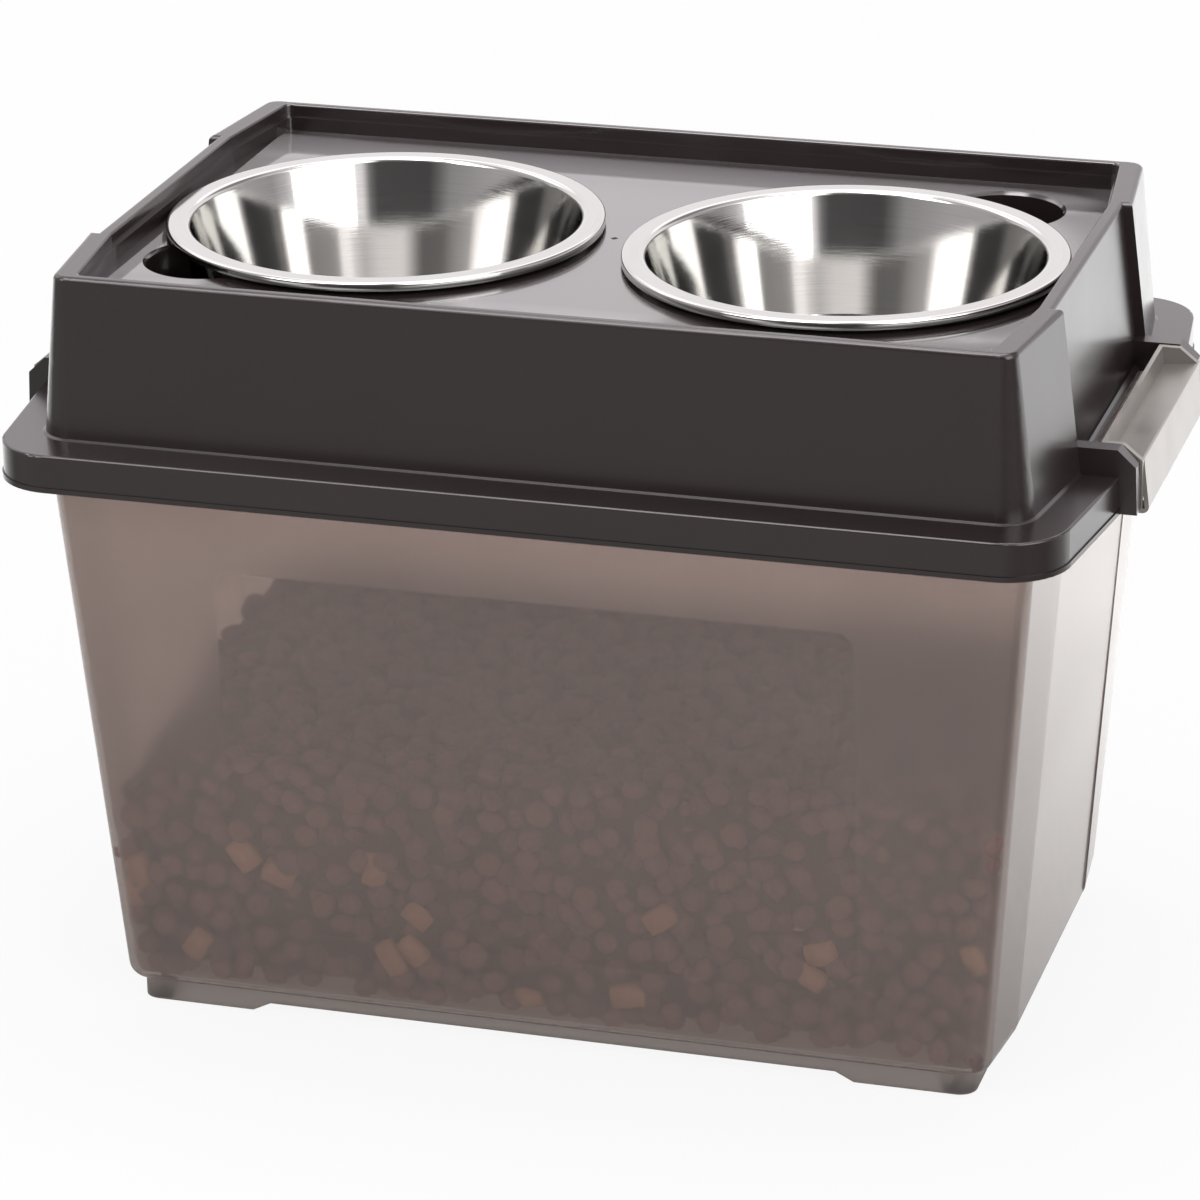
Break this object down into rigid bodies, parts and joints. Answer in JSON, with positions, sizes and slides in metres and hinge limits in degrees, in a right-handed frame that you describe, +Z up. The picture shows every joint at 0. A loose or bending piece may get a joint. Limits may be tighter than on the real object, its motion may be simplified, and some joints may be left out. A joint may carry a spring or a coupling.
{
  "type": "elevated dog feeder with storage",
  "caption": "Tapered clear bin on rubber feet, closed by a tall black lid whose tray holds stainless bowls in wells, with a swing latch on each short side.",
  "frame": {"origin": "on the floor, under the middle of the bin", "axes": "+X to the right along the long side, -Y to the front, +Z up"},
  "size_m": [0.5428, 0.3542, 0.3765],
  "materials": {
    "bin_plastic": "clear smoke-grey moulding, satin, with a polished window in the front",
    "dry_food": "loose baked dry food, dull red-brown",
    "lid_plastic": "black satin moulding",
    "latch_plastic": "warm silver-grey moulding",
    "bowl_steel": "spun and polished stainless sheet",
    "seal_rubber": "soft moulded ring",
    "foot_rubber": "moulded rubber"
  },
  "bodies": {
    "bin": {"storage_bin": "bin_plastic", "food_heap": "dry_food", "foot_front_left": "foot_rubber", "foot_front_right": "foot_rubber", "foot_back_left": "foot_rubber", "foot_back_right": "foot_rubber"},
    "lid": {"feeder_lid": "lid_plastic", "lid_seal": "seal_rubber"},
    "left_bowl": {"bowl_left": "bowl_steel"},
    "right_bowl": {"bowl_right": "bowl_steel"},
    "left_latch": {"latch_left": "latch_plastic"},
    "right_latch": {"latch_right": "latch_plastic"}
  },
  "joints": [
    {"name": "lid_lift", "type": "slide", "parent": "bin", "child": "lid", "axis": [0, 0, 1], "range_m": [0, 0.15]},
    {"name": "left_bowl_lift", "type": "slide", "parent": "lid", "child": "left_bowl", "axis": [0, 0, 1], "range_m": [0, 0.08]},
    {"name": "right_bowl_lift", "type": "slide", "parent": "lid", "child": "right_bowl", "axis": [0, 0, 1], "range_m": [0, 0.08]},
    {"name": "left_latch_swing", "type": "hinge", "parent": "lid", "child": "left_latch", "pos_m": [-0.256, 0, 0.304], "axis": [0, 1, 0], "range_deg": [0, 105]},
    {"name": "right_latch_swing", "type": "hinge", "parent": "lid", "child": "right_latch", "pos_m": [0.256, 0, 0.304], "axis": [0, -1, 0], "range_deg": [0, 105]}
  ]
}
